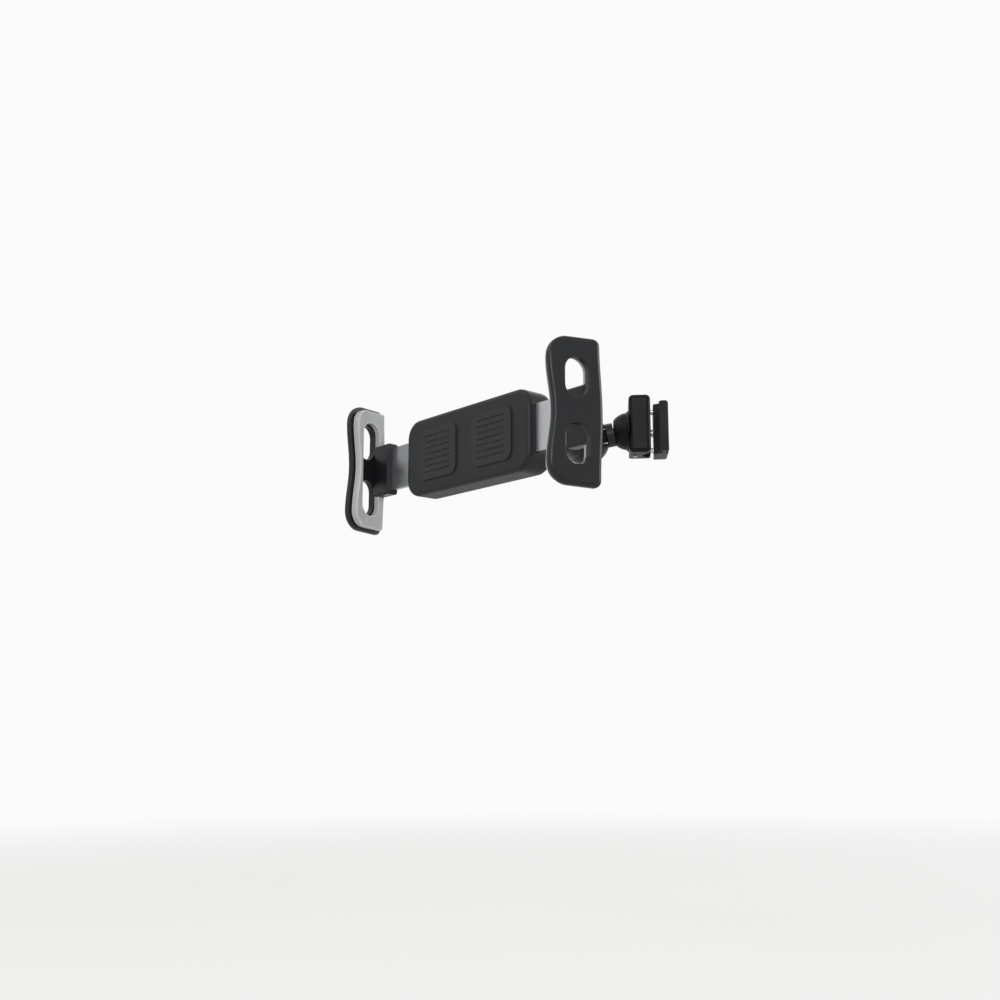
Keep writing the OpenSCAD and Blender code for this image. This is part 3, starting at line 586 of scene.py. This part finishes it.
# side outline of a claw, back from the lip and up, drawn in by inset
def clawOutline(inset):
    half = claw["height"] / 2
    lipCorner, backCorner = claw["lipCorner"], claw["backCorner"]
    lipRise = half - lipCorner
    backRise = half - claw["backDrop"] - backCorner
    lipEdge = [(inset + claw["waist"] * bowAt(t), -t * lipRise) for t in evenSteps(claw["lipSteps"])]
    backReach = backRise + claw["backReach"]
    backEdge = [(claw["depth"] - inset + claw["backBow"] * bowAt(t), t * backReach) for t in
                evenSteps(claw["backSteps"])]
    lipRadius, backRadius = lipCorner - inset, backCorner - inset
    backAcross = claw["depth"] - backCorner
    tilt = degrees(atan(claw["backDrop"] / (backAcross - lipCorner)))
    lipSteps, backSteps, backTurn = claw["lipArcSteps"], claw["backArcSteps"], claw["backTurn"]
    return (lipEdge
            + arcPoints(lipCorner, -lipRise, lipRadius, 180, 270 + tilt, lipSteps)
            + arcPoints(backAcross, -backRise, backRadius, 270 + tilt, 360 - backTurn, backSteps)
            + backEdge
            + arcPoints(backAcross, backRise, backRadius, backTurn, 90 - tilt, backSteps)
            + arcPoints(lipCorner, lipRise, lipRadius, 90 - tilt, 180, lipSteps))


def clawPlace(side):
    place = Matrix.Translation((claw["gripWidth"] / 2, 0, 0)) @ Matrix.Rotation(radians(90 - claw["lean"]), 4, "Z")
    mirror = Matrix.Scale(side, 4, (1, 0, 0))
    return Matrix.Translation(lipsPoint) @ mirror @ place


def settleClawPiece(obj, side):
    settle(obj, clawPlace(side))
    startEdit(obj)
    faceOut()
    endEdit()


def shapeShell(name):
    shell = outlinePlate(name, clawOutline(0), claw["shell"])
    startEdit(shell)
    bpy.ops.mesh.select_all(action="SELECT")
    bpy.ops.mesh.extrude_region_move(
        TRANSFORM_OT_translate={"value": (0, claw["rimStart"] - claw["shell"], 0)})
    faceOut()
    pickFaces(shell, lambda c, n: c.y < claw["rimStart"] + onFace and abs(n.y) > facing)
    for thickness, depth in claw["rimSteps"]:
        bpy.ops.mesh.inset(thickness=thickness, depth=depth)
    endEdit()
    for side in (-1, 1):
        cutWith(shell, slotCutter(claw["windowBack"] + claw["windowWidth"] / 2, claw["windowWidth"],
                                  side * claw["windowRise"], claw["windowHeight"], *claw["windowCut"]))
    roundEdges(shell, claw["shellEdge"], segments=3, angle=50)
    return shell


def shapePad(name):
    inner = claw["shell"] + claw["pad"]
    base = claw["shell"] + claw["seam"]
    pad = outlinePlate(name, clawOutline(claw["padInset"]), base)
    startEdit(pad)
    bpy.ops.mesh.select_all(action="SELECT")
    bpy.ops.mesh.extrude_region_move(TRANSFORM_OT_translate={"value": (0, inner - base, 0)})
    faceOut()
    ridgeBack = claw["waist"] + claw["padInset"] + claw["ridgeWidth"]
    bpy.ops.mesh.select_all(action="SELECT")
    bpy.ops.mesh.bisect(plane_co=(ridgeBack, 0, 0), plane_no=(1, 0, 0))
    # ridge along the lip keeps a device in
    pickFaces(pad, lambda c, n: c.y > inner - onFace and n.y > facing and c.x < ridgeBack)
    bpy.ops.mesh.extrude_region_move(TRANSFORM_OT_translate={"value": (0, claw["ridge"] - claw["ridgeCrown"], 0)})
    bpy.ops.mesh.inset(thickness=claw["ridgeInset"], depth=claw["ridgeCrown"])
    # the seam behind the pad shows as a dark line round it
    pickFaces(pad, lambda c, n: c.y < base + onFace and n.y < -facing)
    bpy.ops.mesh.dissolve_faces()
    bpy.ops.mesh.inset(thickness=claw["seamInset"], depth=0)
    bpy.ops.mesh.extrude_region_move(TRANSFORM_OT_translate={"value": (0, -claw["seam"], 0)})
    endEdit()
    slotWidth = claw["windowWidth"] + 2 * claw["padSlotGrow"]
    slotHeight = 2 * (claw["windowRise"] + claw["windowHeight"] / 2 + claw["padSlotEase"] + claw["padSlotGrow"])
    cutWith(pad, slotCutter(claw["windowBack"] + claw["windowWidth"] / 2, slotWidth, 0, slotHeight,
                            *claw["padSlotCut"]))
    roundEdges(pad, claw["padEdge"], segments=3, angle=38)
    return pad


foot = {
    "near": 0.090, "far": 0.111, "front": 0.0261, "back": 0.0353, "half": 0.018, "corner": 0.002, "edge": 0.0004,
    "plateOverlap": 0.0045, "ease": 0.00005,
    "slideFront": 0.0273, "slideStep": 0.0032, "slideThick": 0.0028, "slideHalf": 0.015, "slideEnd": 0.101,
    "screwAcross": 0.0965, "screwRise": 0.009, "screwHead": 0.00295, "screwShank": 0.00155,
    "headDepth": 0.0018, "shankFront": 0.001, "cutPast": 0.002, "cornerSegments": 4, "boreFacets": 32,
}


# block that joins a claw to the end of its slide, cut along the claw's plate
def shapeFoot(name, layer):
    body = boxCutter((foot["near"], foot["front"], -foot["half"]), (foot["far"], foot["back"], foot["half"]))
    body.name = body.data.name = name
    lean = radians(90 - claw["lean"])
    inward = Vector((-sin(lean), cos(lean), 0))
    startEdit(body)
    bpy.ops.mesh.select_all(action="SELECT")
    platePoint = Vector((claw["gripWidth"] / 2, 0, 0)) + inward * foot["plateOverlap"]
    bpy.ops.mesh.bisect(plane_co=platePoint, plane_no=inward, use_fill=True, clear_inner=True)
    pickEdges(body, lambda a, b: abs(a.x - b.x) > foot["corner"] and abs(abs(a.z) - foot["half"]) < onFace
              and a.z == b.z)
    bpy.ops.mesh.bevel(offset=foot["corner"], segments=foot["cornerSegments"], affect="EDGES")
    faceOut()
    endEdit()
    front = foot["slideFront"] + layer * foot["slideStep"]
    ease, past = foot["ease"], foot["cutPast"]
    cutWith(body, boxCutter((foot["near"] - past, front - ease, -foot["slideHalf"] - ease),
                            (foot["slideEnd"], front + foot["slideThick"] + ease, foot["slideHalf"] + ease)))
    bores = ((foot["screwHead"], foot["back"] - foot["headDepth"]),
             (foot["screwShank"], foot["front"] + foot["shankFront"]))
    for side in (-1, 1):
        for radius, start in bores:
            bpy.ops.object.select_all(action="DESELECT")
            bpy.ops.mesh.primitive_cylinder_add(
                vertices=foot["boreFacets"], radius=radius, depth=foot["back"] + past - start,
                location=(foot["screwAcross"], (foot["back"] + past + start) / 2, side * foot["screwRise"]),
                rotation=(radians(90), 0, 0))
            cutWith(body, bpy.context.active_object)
    roundEdges(body, foot["edge"], segments=2, angle=50)
    return body


def settleFoot(obj, side):
    settle(obj, Matrix.Translation(lipsPoint) @ Matrix.Scale(side, 4, (1, 0, 0)))
    startEdit(obj)
    faceOut()
    endEdit()


for side, word, layer in ((1, "Right", 0), (-1, "Left", 1)):
    body = word.lower() + "_claw"
    nodeWord = word.lower()
    shell = shapeShell("clawShell" + word)
    settleClawPiece(shell, side)
    smoothOut(shell)
    finishPiece(shell, "clawBlack", body, "claw_" + nodeWord)
    pad = shapePad("clawPad" + word)
    settleClawPiece(pad, side)
    smoothOut(pad)
    finishPiece(pad, "clawPadGrey", body, "claw_pad_" + nodeWord)
    clawFoot = shapeFoot("clawFoot" + word, layer)
    settleFoot(clawFoot, side)
    smoothOut(clawFoot)
    finishPiece(clawFoot, "clawBlack", body, "claw_" + nodeWord)
print("claws made")


# pieces that follow the solids: the copy's facets are merged, its edges rounded and its faces smoothed

softened = {
    "front_cover": ("frontCover", "headBlack", "head", 0.0004),
    "rear_cover": ("rearCover", "headBlack", "head", 0.0004),
    "face_pads": ("facePads", "softBlack", "head", 0.0002),
    "lock_ring": ("lockRing", "knobBlack", "ring_nut", 0.0004),
    "long_bar": ("longBar", "barBlack", "long_arm", 0.0005),
    "short_bar": ("shortBar", "barBlack", "short_arm", 0.0003),
    "ball_cap": ("ballCap", "clampBlack", "clamp", 0.0003),
    "clamp_body": ("clampBody", "clampBlack", "clamp", 0.0005),
    "clamp_jaw": ("clampJaw", "clampBlack", "jaw", 0.0006),
    "clamp_knob": ("clampKnob", "knobBlack", "hand_screw", 0.0003),
    "fixed_liner": ("fixedLiner", "linerBlack", "clamp", 0.0001),
    "jaw_liner": ("jawLiner", "linerBlack", "jaw", 0.0001),
    "elbow_bolt": ("elbowBolt", "zincSteel", "long_arm", 0.0002),
    "elbow_nut": ("elbowNut", "zincSteel", "long_arm", 0.0002),
    "slide_right": ("slideRight", "slideSteel", "right_claw", 0.0001),
    "slide_left": ("slideLeft", "slideSteel", "left_claw", 0.0001),
}


softening = {"mergeWithin": 0.000002, "flatWithin": 0.5, "segments": 2, "sharpFrom": 44}


def softenedCopy(nodeName, pieceName, finish, body, edge):
    takeUp(nodes[nodeName])
    bpy.ops.object.duplicate()
    piece = bpy.context.active_object
    piece.name = piece.data.name = pieceName
    piece.parent = None
    for key in [k for k in piece.keys() if k.startswith("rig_")]:
        del piece[key]
    takeUp(piece)
    bpy.ops.mesh.customdata_custom_splitnormals_clear()
    startEdit(piece, "VERT")
    bpy.ops.mesh.select_all(action="SELECT")
    bpy.ops.mesh.remove_doubles(threshold=softening["mergeWithin"])
    bpy.ops.mesh.dissolve_limited(angle_limit=radians(softening["flatWithin"]))
    endEdit()
    roundEdges(piece, edge, softening["segments"], softening["sharpFrom"])
    smoothOut(piece)
    finishPiece(piece, finish, body, nodeName)


for nodeName, (pieceName, finish, body, edge) in softened.items():
    softenedCopy(nodeName, pieceName, finish, body, edge)
print("softened pieces made:", len(softened))


# the small solids that stay as they are

kept = {
    "tension_screw": "zincSteel", "friction_ring": "paleNylon", "guide_rods": "zincSteel", "clamp_screw": "zincSteel",
    "elbow_washers": "knobBlack", "ball_seat": "paleNylon", "cover_screws": "zincSteel", "pinion": "paleNylon",
    "pinion_pin": "zincSteel", "power_spring": "springBlue", "claw_screws_right": "zincSteel",
    "claw_screws_left": "zincSteel",
}
for nodeName, finish in kept.items():
    paint(nodes[nodeName], finish)
print("kept nodes painted:", len(kept))

bpy.context.scene.view_settings.view_transform = "Standard"
addCamera()
lightRoom()
for name, lamp in lamps.items():
    addLamp(name, lamp)
addFloor()
print("camera, lamps and floor set:", len(lamps), "lamps")
